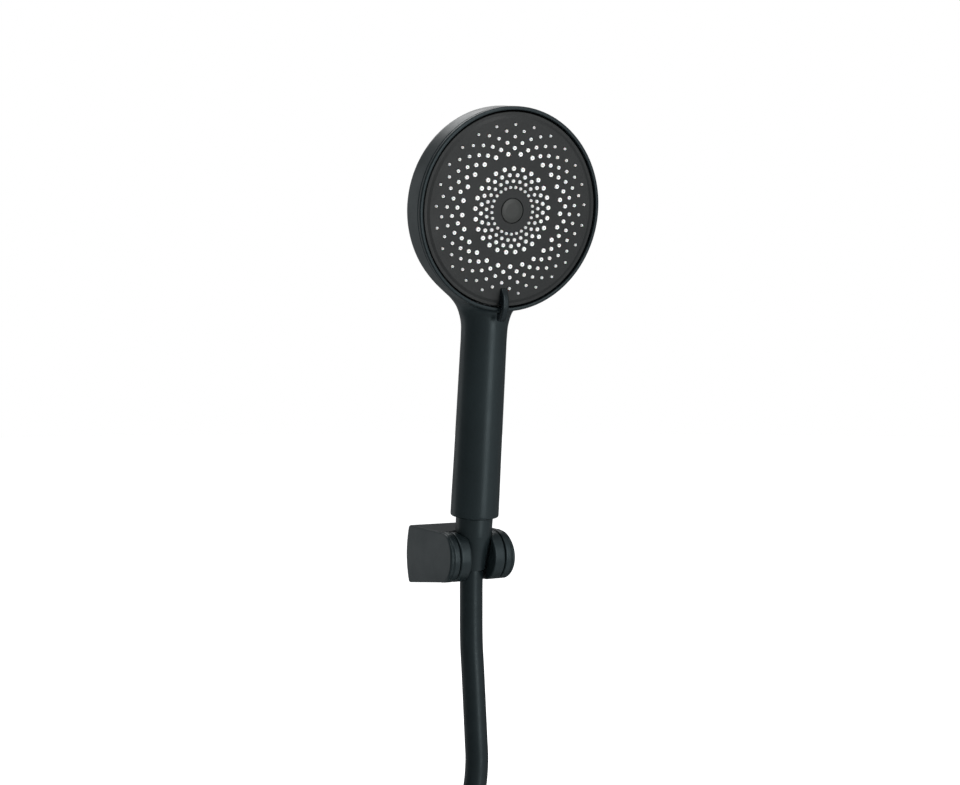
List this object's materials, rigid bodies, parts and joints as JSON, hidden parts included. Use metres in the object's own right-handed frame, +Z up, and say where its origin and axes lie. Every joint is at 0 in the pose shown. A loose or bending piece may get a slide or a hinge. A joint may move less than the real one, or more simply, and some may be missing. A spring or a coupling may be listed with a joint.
{
  "type": "handheld shower head",
  "caption": "Round hand shower with a turning spray face and mode lever, held in a tilting cone cradle on a small wall bracket, with its smooth hose coiled below.",
  "frame": {"origin": "middle of the bracket's flat wall face", "axes": "+Y into the wall, +Z up along the hanging handset, +X to the right when facing the wall; the spray face looks along -Y and a little down"},
  "size_m": [0.1864, 0.115, 0.6832],
  "materials": {
    "black_abs": "soft matte black moulded plastic",
    "face_plastic": "fine matte black moulded plastic",
    "trim_plastic": "satin black moulded plastic",
    "nut_plastic": "matte black moulded plastic",
    "silicone": "soft white silicone",
    "steel": "plain stainless steel",
    "brass": "turned brass",
    "inner_plastic": "natural grey moulded plastic",
    "seal_rubber": "black sealing rubber",
    "regulator_plastic": "blue moulded plastic",
    "hose_skin": "smooth satin black hose cover"
  },
  "bodies": {
    "bracket": {"bracket_base": "black_abs", "wall_plate": "steel", "grub_screw": "steel", "friction_washers": "seal_rubber"},
    "cradle": {"cradle": "black_abs"},
    "hose_end": {"hose_ferrule": "brass"},
    "handset": {"body_shell": "black_abs", "rim_ring": "trim_plastic", "diverter_seat": "inner_plastic", "port_seal": "seal_rubber", "seat_screws": "steel", "centre_screw": "steel", "screw_washer": "steel", "detent_spring": "steel", "detent_ball": "steel", "waterway_tube": "inner_plastic", "tube_o_ring": "seal_rubber", "flow_regulator": "regulator_plastic", "inlet_filter": "seal_rubber", "cone_nut": "black_abs"},
    "spray_face": {"face_plate": "face_plastic", "nozzle_mat": "silicone", "spray_chamber": "inner_plastic", "diverter_disc": "inner_plastic", "hub_o_ring": "seal_rubber", "centre_cap": "black_abs", "mode_lever": "trim_plastic"},
    "hose": {"hose_tube": "hose_skin", "hose_coil": "hose_skin", "hose_tail": "hose_skin", "hose_tie": "seal_rubber", "far_ferrule": "brass"},
    "far_nut": {"far_nut": "nut_plastic", "far_washer": "seal_rubber"}
  },
  "joints": [
    {"name": "bracket_tilt", "type": "hinge", "parent": "bracket", "child": "cradle", "pos_m": [0, -0.05, 0.0034], "axis": [1, 0, 0], "range_deg": [-6, 30]},
    {"name": "handset_lift", "type": "slide", "parent": "cradle", "child": "hose_end", "axis": [0, -0.1104, 0.9939], "range_m": [0, 0.035]},
    {"name": "handset_swivel", "type": "hinge", "parent": "hose_end", "child": "handset", "pos_m": [0, -0.05, 0.0034], "axis": [0, -0.1104, 0.9939], "continuous": true},
    {"name": "mode_turn", "type": "hinge", "parent": "handset", "child": "spray_face", "pos_m": [0, -0.10098, 0.21411], "axis": [0, 0.9744, 0.2246], "range_deg": [-25, 25]},
    {"name": "hose_hang", "type": "hinge", "parent": "hose_end", "child": "hose", "pos_m": [0, -0.04887, -0.00674], "axis": [1, 0, 0], "range_deg": [-30, 6]},
    {"name": "far_nut_spin", "type": "hinge", "parent": "hose", "child": "far_nut", "pos_m": [0.0199, -0.02321, -0.39352], "axis": [0.7071, 0, -0.7071], "continuous": true}
  ],
  "couplings": [
    {"joint": "hose_hang", "follows": "bracket_tilt", "ratio": -1}
  ]
}
